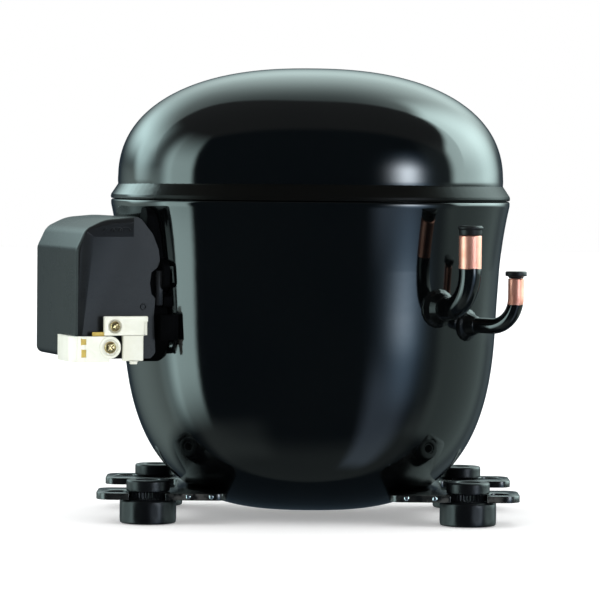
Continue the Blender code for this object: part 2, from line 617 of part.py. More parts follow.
def make_head():
    def square(x0, x1, half, holes, seg=10):
        cuts = []
        for sy in (-1, 1):
            for sz in (-1, 1):
                h = cylinder(2.8, x0 - 3, x1 + 3, seg)
                h.transform(TO_X)
                cuts.append(moved(h, (0, sy * 22.5, CYL_Z + sz * 22.5)))
        return cut(block(x0, x1, -half, half, CYL_Z - half, CYL_Z + half), *cuts, *holes)

    def along_x(r, x0, x1, y, z, seg):
        c = cylinder(r, x0, x1, seg)
        c.transform(TO_X)
        return moved(c, (0, y, z))

    put("head_gasket", square(65.3, 66.0, 28, [along_x(20.4, 60, 70, 0, CYL_Z, 24)]), FIBRE, smooth=False)
    put("valve_plate", square(66.3, 69.0, 28, [along_x(3.6, 60, 75, -7.5, CYL_Z - 8, 12), along_x(3.2, 60, 75, 7.5, CYL_Z - 8, 12)]), STEEL, smooth=False)
    put("suction_reed", block(65.5, 65.9, -12.0, -3.0, CYL_Z - 14, CYL_Z + 11), STEEL, smooth=False)
    put("discharge_reed", block(69.3, 69.7, 3.0, 12.0, CYL_Z - 14, CYL_Z + 11), STEEL, smooth=False)
    chamber = block(60, 80, 1.5, 18.5, CYL_Z - 18, CYL_Z + 18)
    inlet = block(60, 80, -18.5, -1.5, CYL_Z - 18, CYL_Z + 18)
    port = moved(cylinder(4.4, CYL_Z + 10, CYL_Z + 40, 12), (76.0, -10, 0))
    outlet = moved(cylinder(3.4, CYL_Z - 40, CYL_Z - 10, 12), (76.0, 10, 0))
    put("cylinder_head", square(69.3, 84.0, 28, [chamber, inlet, port, outlet]), ALUMINIUM, smooth=False)
    for i, (sy, sz) in enumerate(((-1, -1), (-1, 1), (1, -1), (1, 1))):
        bolt = lathe([(0, 88.0), (4.2, 88.0), (4.2, 84.3), (2.3, 84.3), (2.3, 52.5), (0, 52.5)], 12, ring=False)
        bolt.transform(TO_X)
        put(f"head_bolt_{i + 1}", moved(bolt, (0, sy * 22.5, CYL_Z + sz * 22.5)), STEEL)
    # suction muffler beside the cylinder, its neck let into the head's inlet
    can = block(6, 50, -66, -33, 146, 196, 5, 2)
    neck = rod([(40, -48, 190), (46, -46, 205), (60, -30, 209), (72, -16, 209), (76.0, -10, 207), (76.0, -10, 190)], 4.0, 2)
    put("suction_muffler", joined(can, neck), NYLON_BLUE)
    # discharge line: down from the head, one loop round the motor, to the bowl's discharge tube
    p, n = wall_point(DISCHARGE["x"], DISCHARGE["side"], DISCHARGE["z"])
    end = p - n * 14.0
    pts = [Vector((76, 10, 160)), Vector((76, 10, 136)), Vector((76, 8, 128))]
    for i in range(0, 15):
        a = math.radians(8 + 250 * i / 14)
        pts.append(Vector((71.5 * math.cos(a), 70.0 * math.sin(a), 121 - 9 * i / 14)))
    a = math.radians(278)
    pts.append(Vector((71.0 * math.cos(a), 69.0 * math.sin(a), 109)))
    pts.append(Vector((38, -62, 106)))
    pts.append(Vector((end.x - 6, end.y + 1.5, 104)))
    pts.append(Vector((end.x, end.y, DISCHARGE["z"])))
    put("discharge_line", rod([tuple(v) for v in pts], 3.0, 1), COPPER)


def make_springs():
    turns, per = 4.0, 8
    r, wire = 5.9, 0.95
    for i, (sx, sy) in enumerate(((-1, -1), (1, -1), (-1, 1), (1, 1))):
        n = int(turns * per)
        pts = []
        for k in range(n + 1):
            a = 2 * math.pi * k / per
            z = SPRING_Z0 + wire + (SPRING_Z1 - SPRING_Z0 - 2 * wire) * k / n
            pts.append((sx * SPRING_X + r * math.cos(a), sy * SPRING_Y + r * math.sin(a), z))
        name = ("front" if sy < 0 else "rear") + ("_left" if sx < 0 else "_right")
        put(f"suspension_spring_{name}", rod(pts, wire, 1), STEEL)


make_casing()
make_base()
make_tube("suction_tube", SUCTION, "suction_plug")
make_tube("discharge_tube", DISCHARGE, "discharge_plug")
make_tube("process_tube", PROCESS, "process_plug")
make_terminal_box()
make_motor()
make_crank()
make_running_gear()
make_block()
make_head()
make_springs()
CUTTERS.hide_render = True
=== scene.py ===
"""Looks for the hermetic compressor: detailed pieces and materials over the
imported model.  Sizes are millimetres from the casing axis, as in the CAD; the
casing axis stands at OX in the shared frame."""
import math

import bmesh
import bpy
from mathutils import Matrix, Vector


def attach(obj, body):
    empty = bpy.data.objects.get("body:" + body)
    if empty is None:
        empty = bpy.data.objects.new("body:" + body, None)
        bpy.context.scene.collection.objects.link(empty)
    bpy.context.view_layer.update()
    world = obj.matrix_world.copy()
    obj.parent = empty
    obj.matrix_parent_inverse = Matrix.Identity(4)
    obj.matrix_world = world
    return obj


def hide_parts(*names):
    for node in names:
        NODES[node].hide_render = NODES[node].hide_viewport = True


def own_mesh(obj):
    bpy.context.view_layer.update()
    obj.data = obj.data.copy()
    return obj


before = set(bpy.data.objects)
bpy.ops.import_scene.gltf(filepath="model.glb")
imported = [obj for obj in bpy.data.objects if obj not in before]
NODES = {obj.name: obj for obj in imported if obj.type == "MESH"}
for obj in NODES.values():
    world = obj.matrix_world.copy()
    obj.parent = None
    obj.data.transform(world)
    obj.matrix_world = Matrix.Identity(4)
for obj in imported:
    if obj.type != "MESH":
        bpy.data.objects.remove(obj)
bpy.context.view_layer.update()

MM = 0.001
OX = 16.5
AXIS = Matrix.Translation((OX * MM, 0, 0))
PLAN_N = 2.3
BOWL_RATIO, DOME_RATIO, WELD_RATIO = 0.86, 0.855, 0.8575
BOX_TURN = 180.0 + 19.7
BOX = AXIS @ Matrix.Rotation(math.radians(BOX_TURN), 4, "Z")
X1 = 139.2                      # outer face of the terminal cover
TO_X = Matrix.Rotation(math.radians(90), 4, "Y")
TO_Y = Matrix.Rotation(math.radians(-90), 4, "X")
STAND = Matrix(((1, 0, 0, 0), (0, 0, -1, 0), (0, 1, 0, 0), (0, 0, 0, 1)))   # x, y drawn become x, z


# ------------------------------------------------------------------ node trees
class Tree:
    """A short way to write shader nodes."""

    def __init__(self, tree):
        self.t = tree

    def node(self, kind, **inputs):
        n = self.t.nodes.new(kind)
        for key, value in inputs.items():
            self.put(n.inputs[key.replace("_", " ")], value)
        return n

    def put(self, socket, value):
        if isinstance(value, bpy.types.NodeSocket):
            self.t.links.new(value, socket)
        else:
            socket.default_value = value

    def math(self, op, a, b=0.0, c=0.0, clamp=False):
        n = self.t.nodes.new("ShaderNodeMath")
        n.operation = op
        n.use_clamp = clamp
        for s, v in zip(n.inputs, (a, b, c)):
            self.put(s, v)
        return n.outputs[0]

    def step(self, x, lo, hi, a=0.0, b=1.0):
        n = self.t.nodes.new("ShaderNodeMapRange")
        n.interpolation_type = "SMOOTHSTEP"
        for s, v in zip(n.inputs, (x, lo, hi, a, b)):
            self.put(s, v)
        return n.outputs[0]

    def linear(self, x, lo, hi, a=0.0, b=1.0):
        n = self.t.nodes.new("ShaderNodeMapRange")
        for s, v in zip(n.inputs, (x, lo, hi, a, b)):
            self.put(s, v)
        return n.outputs[0]

    def mix(self, fac, a, b):
        n = self.t.nodes.new("ShaderNodeMix")
        n.data_type = "RGBA"
        self.put(n.inputs[0], fac)
        self.put(n.inputs[6], a)
        self.put(n.inputs[7], b)
        return n.outputs[2]

    def noise(self, scale, detail=3.0, rough=0.55, vector=None):
        n = self.node("ShaderNodeTexNoise", Scale=scale, Detail=detail, Roughness=rough)
        if vector is None:
            vector = self.place()
        self.put(n.inputs["Vector"], vector)
        return n.outputs["Fac"]

    def place(self):
        return self.node("ShaderNodeTexCoord").outputs["Object"]

    def axis(self, which):
        n = self.node("ShaderNodeSeparateXYZ", Vector=self.place())
        return n.outputs[which]

    def bump(self, height, strength, distance=0.001, normal=None):
        n = self.node("ShaderNodeBump", Height=height, Strength=strength, Distance=distance)
        if normal is not None:
            self.put(n.inputs["Normal"], normal)
        return n.outputs["Normal"]


def rgb(r, g, b):
    return (r, g, b, 1.0)


def new_material(name):
    m = bpy.data.materials.new(name)
    m.use_nodes = True
    return m, Tree(m.node_tree), m.node_tree.nodes["Principled BSDF"]


def finish(name, light, dark, rough, metal=0.0, scale=60.0, grain=900.0, bump=0.05, spec=0.5,
           coat=0.0, coat_rough=0.1, ior=1.5, wear=None, sss=0.0):
    """A procedural finish: colour and roughness vary slowly, a fine grain breaks up the surface,
    and the edges can show wear or dust."""
    m, t, b = new_material(name)
    slow = t.noise(scale, 4.0, 0.6)
    colour = t.mix(t.step(slow, 0.35, 0.65), rgb(*dark), rgb(*light))
    fine = t.noise(grain, 2.0, 0.5)
    if wear is not None:
        edge = t.node("ShaderNodeNewGeometry").outputs["Pointiness"]
        worn = t.math("MULTIPLY", t.step(edge, 0.52, 0.60), t.step(t.noise(scale * 4), 0.35, 0.6))
        colour = t.mix(worn, colour, rgb(*wear))
    t.put(b.inputs["Base Color"], colour)
    t.put(b.inputs["Roughness"], t.linear(t.math("ADD", t.math("MULTIPLY", slow, 0.6), t.math("MULTIPLY", fine, 0.4)),
                                          0.3, 0.7, rough[0], rough[1]))
    b.inputs["Metallic"].default_value = metal
    b.inputs["IOR"].default_value = ior
    b.inputs["Specular IOR Level"].default_value = spec
    b.inputs["Coat Weight"].default_value = coat
    b.inputs["Coat Roughness"].default_value = coat_rough
    if sss:
        b.inputs["Subsurface Weight"].default_value = sss
        b.inputs["Subsurface Radius"].default_value = (0.002, 0.002, 0.0015)
    t.put(b.inputs["Normal"], t.bump(fine, bump, 0.0004))
    return m


# ------------------------------------------------------------------ materials
def enamel():
    """Stoved black enamel: deep gloss, a trace of orange peel and a few dust nibs."""
    m, t, b = new_material("black_enamel_gloss")
    slow = t.noise(14.0, 3.0)
    t.put(b.inputs["Base Color"], t.mix(t.step(slow, 0.3, 0.7), rgb(0.0007, 0.0010, 0.0012), rgb(0.0012, 0.0015, 0.0016)))
    t.put(b.inputs["Roughness"], t.linear(t.noise(40.0, 4.0), 0.3, 0.7, 0.055, 0.085))
    b.inputs["IOR"].default_value = 1.52
    peel = t.noise(260.0, 2.0, 0.4)
    nib = t.step(t.noise(520.0, 0.0, 0.5), 0.80, 0.86)
    t.put(b.inputs["Normal"], t.bump(t.math("ADD", peel, t.math("MULTIPLY", nib, 0.5)), 0.012, 0.0006))
    return m


def plate_enamel():
    """The same enamel over pressed plate: thicker peel, thin at the sheared edges."""
    return finish("base_plate_enamel", (0.0032, 0.0038, 0.0036), (0.0018, 0.0022, 0.0022), (0.15, 0.25), scale=50.0,
                  grain=700.0, bump=0.10, ior=1.52, wear=(0.05, 0.052, 0.05))


def copper_and_paint(paint_top):
    """Bare drawn copper above the masking line, black enamel below it."""
    m, t, b = new_material(f"copper_painted_to_{int(paint_top)}")
    z = t.math("MULTIPLY", t.axis(2), 1000.0)
    edge = t.math("ADD", z, t.math("MULTIPLY", t.math("SUBTRACT", t.noise(700.0, 3.0), 0.5), 1.1))
    bare = t.step(edge, paint_top - 0.12, paint_top + 0.12)
    streak = t.node("ShaderNodeMapping", Scale=(900.0, 900.0, 40.0))
    t.put(streak.inputs["Vector"], t.place())
    drawn = t.noise(1.0, 4.0, 0.6, streak.outputs["Vector"])
    tarnish = t.noise(160.0, 4.0)
    copper = t.mix(t.step(tarnish, 0.40, 0.75), rgb(0.80, 0.37, 0.28), rgb(0.68, 0.27, 0.19))
    t.put(b.inputs["Base Color"], t.mix(bare, rgb(0.0012, 0.0015, 0.0016), copper))
    t.put(b.inputs["Metallic"], t.math("MULTIPLY", bare, 0.86))
    t.put(b.inputs["Roughness"], t.math("ADD", 0.09, t.math("MULTIPLY", bare, t.linear(drawn, 0.3, 0.7, 0.30, 0.40))))
    t.put(b.inputs["Normal"], t.bump(t.math("ADD", t.math("MULTIPLY", drawn, 0.15), t.math("MULTIPLY", bare, -0.8)), 0.12, 0.0003))
    return m


def laminated():
    """Stacked electrical steel: fine rings along the height, blued faces."""
    m, t, b = new_material("electrical_steel_stack")
    wave = t.math("SINE", t.math("MULTIPLY", t.axis(2), 2 * math.pi / 0.0005 / 2))
    slow = t.noise(30.0, 4.0)
    t.put(b.inputs["Base Color"], t.mix(t.step(slow, 0.35, 0.7), rgb(0.20, 0.22, 0.26), rgb(0.36, 0.34, 0.31)))
    b.inputs["Metallic"].default_value = 0.9
    t.put(b.inputs["Roughness"], t.linear(wave, -1.0, 1.0, 0.35, 0.55))
    t.put(b.inputs["Normal"], t.bump(wave, 0.35, 0.0002))
    return m


def winding():
    """Enamelled wire laid round the bore, with its amber varnish."""
    m, t, b = new_material("enamelled_copper_wire")
    stretch = t.node("ShaderNodeMapping", Scale=(60.0, 60.0, 1400.0))
    t.put(stretch.inputs["Vector"], t.place())
    strands = t.noise(1.0, 5.0, 0.65, stretch.outputs["Vector"])
    t.put(b.inputs["Base Color"], t.mix(t.step(strands, 0.35, 0.65), rgb(0.30, 0.07, 0.02), rgb(0.72, 0.28, 0.09)))
    b.inputs["Metallic"].default_value = 0.65
    t.put(b.inputs["Roughness"], t.linear(strands, 0.3, 0.7, 0.22, 0.45))
    t.put(b.inputs["Normal"], t.bump(strands, 0.7, 0.0006))
    return m


def brushed(name, light, dark, turns=(60.0, 60.0, 900.0), rough=(0.22, 0.38)):
    """Turned or drawn steel: streaks across one axis."""
    m, t, b = new_material(name)
    stretch = t.node("ShaderNodeMapping", Scale=turns)
    t.put(stretch.inputs["Vector"], t.place())
    lines = t.noise(1.0, 4.0, 0.6, stretch.outputs["Vector"])
    t.put(b.inputs["Base Color"], t.mix(t.step(lines, 0.3, 0.7), rgb(*dark), rgb(*light)))
    b.inputs["Metallic"].default_value = 1.0
    t.put(b.inputs["Roughness"], t.linear(lines, 0.3, 0.7, *rough))
    t.put(b.inputs["Normal"], t.bump(lines, 0.15, 0.0003))
    return m


def seam_enamel():
    """The enamel over the weld: it lies duller along the bead and keeps its gloss at the left end."""
    m, t, b = new_material("black_enamel_on_weld")
    slow = t.noise(30.0, 3.0)
    t.put(b.inputs["Base Color"], t.mix(t.step(slow, 0.3, 0.7), rgb(0.0022, 0.0024, 0.0022), rgb(0.0034, 0.0034, 0.0030)))
    along = t.math("ADD", t.axis(0), t.math("MULTIPLY", t.math("SUBTRACT", t.noise(160.0, 2.0), 0.5), 0.012))
    dull = t.step(along, (OX - 84.0) * MM, (OX - 76.0) * MM)
    t.put(b.inputs["Specular IOR Level"], t.linear(dull, 0.0, 1.0, 0.42, 0.07))
    t.put(b.inputs["Roughness"], t.linear(dull, 0.0, 1.0, 0.10, 0.30))
    t.put(b.inputs["Normal"], t.bump(t.noise(420.0, 3.0), 0.05, 0.0006))
    return m


ENAMEL = enamel()
SEAM = seam_enamel()
BRAZE = finish("enamel_over_braze", (0.0020, 0.0024, 0.0024), (0.0012, 0.0015, 0.0016), (0.20, 0.30), scale=90.0, grain=600.0, bump=0.12, spec=0.16)
PLATE = plate_enamel()
RUBBER = finish("moulded_black_rubber", (0.0030, 0.0036, 0.0044), (0.0018, 0.0022, 0.0028), (0.28, 0.38), scale=90.0, grain=1500.0, bump=0.10, spec=0.24)
PLUG = finish("plug_rubber", (0.006, 0.006, 0.0065), (0.003, 0.003, 0.0035), (0.40, 0.52), scale=120.0, grain=1500.0, bump=0.10, spec=0.3)
COVER = finish("moulded_box_plastic", (0.0100, 0.0110, 0.0120), (0.0076, 0.0084, 0.0094), (0.25, 0.31), scale=35.0, grain=2600.0, bump=0.05, spec=0.12)
FENCE = finish("moulded_frame_plastic", (0.0016, 0.0018, 0.0021), (0.0010, 0.0011, 0.0013), (0.44, 0.54), scale=60.0, grain=2200.0, bump=0.08, spec=0.03, ior=1.25)
NYLON = finish("white_moulded_nylon", (0.86, 0.88, 0.78), (0.80, 0.82, 0.70), (0.30, 0.42), scale=80.0, grain=1800.0, bump=0.06, sss=0.08)
YELLOW = finish("yellow_insulator", (0.62, 0.47, 0.10), (0.45, 0.30, 0.06), (0.35, 0.5), scale=120.0)
ZINC = brushed("zinc_plated_steel", (0.66, 0.66, 0.63), (0.42, 0.42, 0.40))
DULL_ZINC = brushed("dulled_zinc_steel", (0.10, 0.10, 0.10), (0.05, 0.05, 0.05), rough=(0.45, 0.6))
SCREW = finish("yellow_passivated_screw", (0.78, 0.62, 0.34), (0.52, 0.36, 0.16), (0.24, 0.40), metal=1.0, scale=500.0, grain=3000.0, bump=0.1)
STEEL = brushed("ground_steel", (0.62, 0.62, 0.62), (0.40, 0.40, 0.41))
CAST = finish("sand_cast_iron", (0.16, 0.16, 0.155), (0.09, 0.09, 0.09), (0.5, 0.7), metal=0.5, scale=120.0, grain=900.0, bump=0.6)
ALUMINIUM = finish("die_cast_alloy", (0.66, 0.67, 0.68), (0.50, 0.51, 0.52), (0.34, 0.5), metal=1.0, scale=90.0, grain=1200.0, bump=0.3)
MUFFLER = finish("muffler_polymer", (0.70, 0.69, 0.62), (0.60, 0.59, 0.52), (0.42, 0.55), scale=70.0, grain=1500.0, bump=0.1, sss=0.05)
GASKET = finish("gasket_sheet", (0.22, 0.24, 0.26), (0.15, 0.17, 0.19), (0.7, 0.9), scale=300.0, grain=2500.0, bump=0.5)
GLASS = finish("fused_terminal_glass", (0.05, 0.16, 0.11), (0.03, 0.10, 0.07), (0.05, 0.12), scale=100.0, grain=500.0, bump=0.03)
LAMINATED, WINDING = laminated(), winding()
# painted highlight: bright bare metal for the weld beads on the plate edges, standing in for the glints there
WELD_PAINTED_HIGHLIGHT = finish("bright_weld_painted_highlight", (0.75, 0.77, 0.80), (0.5, 0.52, 0.56), (0.18, 0.3), metal=1.0, scale=800.0, bump=0.2)


# ------------------------------------------------------------------ mesh tools
def own(mesh, name, mat, body, nodes=(), matrix=AXIS, sharp=40.0):
    """A finished piece in the shared frame, riding on its body."""
    mesh.transform(matrix)
    if matrix.determinant() < 0:
        mesh.flip_normals()
    obj = bpy.data.objects.new(name, mesh)
    bpy.context.scene.collection.objects.link(obj)
    mesh.name = name
    mesh.materials.clear()
    mesh.materials.append(mat)
    mesh.shade_smooth()
    mesh.set_sharp_from_angle(angle=math.radians(sharp))
    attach(obj, body)
    if nodes:
        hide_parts(*nodes)
    return obj


def plan(c, s, ratio):
    return 1.0 if ratio is None else (abs(c) ** PLAN_N + abs(s / ratio) ** PLAN_N) ** (-1 / PLAN_N)


def turned(profile, seg=96, ratio=None, wobble=None):
    """A turned solid in metres: the profile (radius, height in mm) is a loop, or runs from axis to axis."""
    loop = profile[0][0] > 1e-6
    bm = bmesh.new()
    rings = []
    for r, z in profile:
        if r <= 1e-6:
            rings.append([bm.verts.new((0, 0, z * MM))])
            continue
        ring = []
        for i in range(seg):
            a = 2 * math.pi * i / seg
            c, s = math.cos(a), math.sin(a)
            k = r * plan(c, s, ratio)
            if wobble is not None:
                k += wobble(a, r, z)
            ring.append(bm.verts.new((k * c * MM, k * s * MM, z * MM)))
        rings.append(ring)
    pairs = list(zip(rings, rings[1:])) + ([(rings[-1], rings[0])] if loop else [])
    for a, b in pairs:
        for i in range(seg):
            j = (i + 1) % seg
            if len(a) == 1:
                bm.faces.new((a[0], b[j], b[i]))
            elif len(b) == 1:
                bm.faces.new((a[i], a[j], b[0]))
            else:
                bm.faces.new((a[i], a[j], b[j], b[i]))
    bmesh.ops.recalc_face_normals(bm, faces=bm.faces)
    mesh = bpy.data.meshes.new("turned")
    bm.to_mesh(mesh)
    bm.free()
    return mesh


def rounded(points, radius, steps=4, closed=True):
    """A profile with its corners rounded.  radius: one number or one per corner."""
    out = []
    n = len(points)
    for i, p in enumerate(points):
        r = radius[i] if isinstance(radius, (list, tuple)) else radius
        if (not closed and i in (0, n - 1)) or r <= 0:
            out.append(p)
            continue
        a, b, c = Vector(points[i - 1]), Vector(p), Vector(points[(i + 1) % n])
        u, v = a - b, c - b
        lu, lv = u.length, v.length
        u, v = u / lu, v / lv
        half = u.angle(v) / 2
        if half > math.radians(88):
            out.append(p)
            continue
        d = min(r / math.tan(half), lu * 0.48, lv * 0.48)
        r = d * math.tan(half)
        centre = b + (u + v).normalized() * (r / math.sin(half))
        s, e = b + u * d - centre, b + v * d - centre
        total = s.angle(e) * (1 if s.x * e.y - s.y * e.x > 0 else -1)
        for k in range(steps + 1):
            f = total * k / steps
            out.append((centre.x + s.x * math.cos(f) - s.y * math.sin(f), centre.y + s.x * math.sin(f) + s.y * math.cos(f)))
    return out


def link_temp(mesh, name="temp"):
    obj = bpy.data.objects.new(name, mesh)
    bpy.context.scene.collection.objects.link(obj)
    return obj


def baked(obj):
    graph = bpy.context.evaluated_depsgraph_get()
    mesh = bpy.data.meshes.new_from_object(obj.evaluated_get(graph))
    bpy.data.objects.remove(obj, do_unlink=True)
    return mesh


def outline(loops, z0, z1):
    """A flat shape with holes, given thickness, in metres."""
    curve = bpy.data.curves.new("outline", "CURVE")
    curve.dimensions = "2D"
    curve.fill_mode = "BOTH"
    curve.extrude = (z1 - z0) / 2 * MM
    for loop in loops:
        s = curve.splines.new("POLY")
        s.points.add(len(loop) - 1)
        for p, (x, y) in zip(s.points, loop):
            p.co = (x * MM, y * MM, 0, 1)
        s.use_cyclic_u = True
    obj = link_temp(curve, "outline")
    bpy.context.view_layer.update()
    mesh = baked(obj)
    mesh.transform(Matrix.Translation((0, 0, (z0 + z1) / 2 * MM)))
    bm = bmesh.new()
    bm.from_mesh(mesh)
    bmesh.ops.remove_doubles(bm, verts=bm.verts, dist=1e-6)
    bmesh.ops.dissolve_limit(bm, angle_limit=math.radians(0.5), verts=bm.verts, edges=bm.edges)
    bmesh.ops.recalc_face_normals(bm, faces=bm.faces)
    bm.to_mesh(mesh)
    bm.free()
    return mesh


def cuboid(x0, x1, y0, y1, z0, z1):
    bm = bmesh.new()
    bmesh.ops.create_cube(bm, size=1.0)
    bmesh.ops.scale(bm, verts=bm.verts, vec=((x1 - x0) * MM, (y1 - y0) * MM, (z1 - z0) * MM))
    bmesh.ops.translate(bm, verts=bm.verts, vec=((x0 + x1) / 2 * MM, (y0 + y1) / 2 * MM, (z0 + z1) / 2 * MM))
    mesh = bpy.data.meshes.new("cuboid")
    bm.to_mesh(mesh)
    bm.free()
    return mesh


def hull(points):
    bm = bmesh.new()
    for p in points:
        bm.verts.new(Vector(p) * MM)
    bmesh.ops.convex_hull(bm, input=bm.verts)
    bmesh.ops.recalc_face_normals(bm, faces=bm.faces)
    mesh = bpy.data.meshes.new("hull")
    bm.to_mesh(mesh)
    bm.free()
    return mesh


def combine(base, others, how="DIFFERENCE", bevel=0.0, seg=2, angle=40.0):
    obj = link_temp(base)
    temps = [link_temp(m) for m in others]
    for i, c in enumerate(temps):
        mod = obj.modifiers.new(f"b{i}", "BOOLEAN")
        mod.operation = how
        mod.solver = "EXACT"
        mod.object = c
    bpy.context.view_layer.update()
    mesh = baked(obj)
    for c in temps:
        bpy.data.objects.remove(c, do_unlink=True)
    return soften(mesh, bevel, seg, angle) if bevel else mesh


def soften(mesh, width, seg=2, angle=40.0):
    """Small radii along the edges."""
    bm = bmesh.new()
    bm.from_mesh(mesh)
    bmesh.ops.remove_doubles(bm, verts=bm.verts, dist=2e-6)
    bmesh.ops.dissolve_limit(bm, angle_limit=math.radians(1.0), verts=bm.verts, edges=bm.edges)
    bm.to_mesh(mesh)
    bm.free()
    obj = link_temp(mesh)
    mod = obj.modifiers.new("edges", "BEVEL")
    mod.width = width * MM
    mod.segments = seg
    mod.limit_method = "ANGLE"
    mod.angle_limit = math.radians(angle)
    mod.harden_normals = False
    bpy.context.view_layer.update()
    return baked(obj)


def swept(points, radius, sides=40):
    """A round bar or the outside of a tube along points in mm; radius may be one number or one per point."""
    pts = [Vector(p) * MM for p in points]
    n = len(pts)
    rad = radius if isinstance(radius, (list, tuple)) else [radius] * n
    bm = bmesh.new()
    tangents = [(pts[min(i + 1, n - 1)] - pts[max(i - 1, 0)]).normalized() for i in range(n)]
    up = Vector((0, 0, 1)) if abs(tangents[0].z) < 0.9 else Vector((1, 0, 0))
    side = tangents[0].cross(up).normalized()
    rings = []
    for p, t, r in zip(pts, tangents, rad):
        side = (side - t * side.dot(t)).normalized()
        other = t.cross(side)
        rings.append([bm.verts.new(p + (side * math.cos(2 * math.pi * i / sides) + other * math.sin(2 * math.pi * i / sides)) * r * MM)
                      for i in range(sides)])
    for a, b in zip(rings, rings[1:]):
        for i in range(sides):
            j = (i + 1) % sides
            bm.faces.new((a[i], a[j], b[j], b[i]))
    bm.faces.new(list(reversed(rings[0])))
    bm.faces.new(rings[-1])
    bmesh.ops.recalc_face_normals(bm, faces=bm.faces)
    mesh = bpy.data.meshes.new("swept")
    bm.to_mesh(mesh)
    bm.free()
    return mesh


def arc(cx, cy, r, a0, a1, n):
    return [(cx + r * math.cos(math.radians(a0 + (a1 - a0) * i / n)),
             cy + r * math.sin(math.radians(a0 + (a1 - a0) * i / n))) for i in range(n + 1)]


def merged(*meshes):
    bm = bmesh.new()
    for m in meshes:
        bm.from_mesh(m)
    out = bpy.data.meshes.new("merged")
    bm.to_mesh(out)
    bm.free()
    return out


def moved(mesh, x, y, z):
    mesh.transform(Matrix.Translation((x * MM, y * MM, z * MM)))
    return mesh


def turned_to(mesh, m):
    mesh.transform(m)
    return mesh


# ------------------------------------------------------------------ casing
def ease(t):
    t = min(1.0, max(0.0, t))
    return t * t * (3 - 2 * t)


def bowl_r(z):
    t = min(1.0, max(0.0, (130.0 - z) / 126.5))
    u = min(1.0, max(0.0, (z - 95.0) / 69.0))
    return 98.5 * (1 - t ** 3) ** (1 / 3) + 6.5 * (0.6 * u * u + 0.4 * u ** 3)


def dome_r(z):
    t = min(1.0, max(0.0, (z - 176.0) / 59.8))
    inset = 0.9 * min(1.0, max(0.0, (176.0 - z) / 14.0))
    return 101.5 * (1 - t ** 2.33) ** (1 / 2.33) - inset


def bowl_outside(steps=70):
    out = [(bowl_r(z), z) for z in [165.9 - 0.9 * i for i in range(40)]]
    for i in range(1, steps):
        a = math.radians(2 + 87.6 * i / steps)
        u = math.cos(a) ** (2 / 3)
        z = 130.0 - 126.5 * (1 - u ** 3) ** (1 / 3)
        if z < out[-1][1] - 0.3:
            out.append((bowl_r(z), z))
    return out


def wall_point(x, side, z):
    a = bowl_r(z)
    b = a * BOWL_RATIO
    y = side * b * (1 - abs(x / a) ** PLAN_N) ** (1 / PLAN_N)
    nx = math.copysign(abs(x) ** (PLAN_N - 1) / a ** PLAN_N, x)
    ny = math.copysign(abs(y) ** (PLAN_N - 1) / b ** PLAN_N, y)
    d = math.hypot(nx, ny)
    return Vector((x, y, z)), Vector((nx / d, ny / d, 0))


def make_casing():
    outside = bowl_outside()
    inside = [(max(r - 3.2, 0.5), z + (2.6 if z < 60 else 0)) for r, z in outside[::6]]
    lip = [(101.9, 165.4), (102.2, 166.2), (103.2, 166.55), (104.3, 166.5)]
    loop = [(0, 6.8)] + list(reversed(inside)) + lip + outside + [(0, 3.5)]
    own(turned(loop, 224, BOWL_RATIO), "casing_lower", ENAMEL, "housing", ["lower_shell"], sharp=60)
    skin = []
    for i in range(64):
        a = math.radians(4 + 86 * (i / 63) ** 0.9)
        u = math.cos(a) ** (2 / 2.33)
        z = 176.0 + 59.8 * (1 - u ** 2.33) ** (1 / 2.33)
        skin.append((dome_r(z), z))
    skin = sorted({(round(r, 4), round(z, 4)) for r, z in skin if r > 1.0}, key=lambda p: -p[1])
    side = [(dome_r(z), z) for z in [177.0 - i for i in range(15)]]
    skin = [p for p in skin if p[1] > 177.6] + side
    inner = [(max(r - 2.3, 0.4), z - (2.4 if z > 214 else 0.5)) for r, z in skin[::3]]
    profile = [(0, 235.8)] + skin + list(reversed(inner)) + [(0, 233.2)]
    own(turned(profile, 224, DOME_RATIO), "casing_upper", ENAMEL, "housing", ["upper_shell"], sharp=60)
    # the seam: a rolled shoulder over the lip, with the faint scallops of the weld bead in its root
    bead = rounded([(100.9, 176.0), (101.45, 174.3), (105.0, 169.0), (105.2, 167.9), (104.95, 166.85), (101.9, 166.85)],
                   [0.0, 0.8, 0.9, 0.5, 0.4, 0.1], 6)
    own(turned(bead, 360, WELD_RATIO, lambda a, r, z: 0.05 * math.sin(a * 130) * max(0.0, 1 - abs(z - 173.8) / 2.0)),
        "seam_bead", SEAM, "housing", ["seam_weld"], sharp=60)


def bowl_solid(grow):
    pts = [(r + grow, z - (grow if z < 60 else 0)) for r, z in bowl_outside(40)[::2]]
    return turned([(0, 172.0), (pts[0][0], 172.0)] + pts + [(0, 3.5 - grow)], 96, BOWL_RATIO)


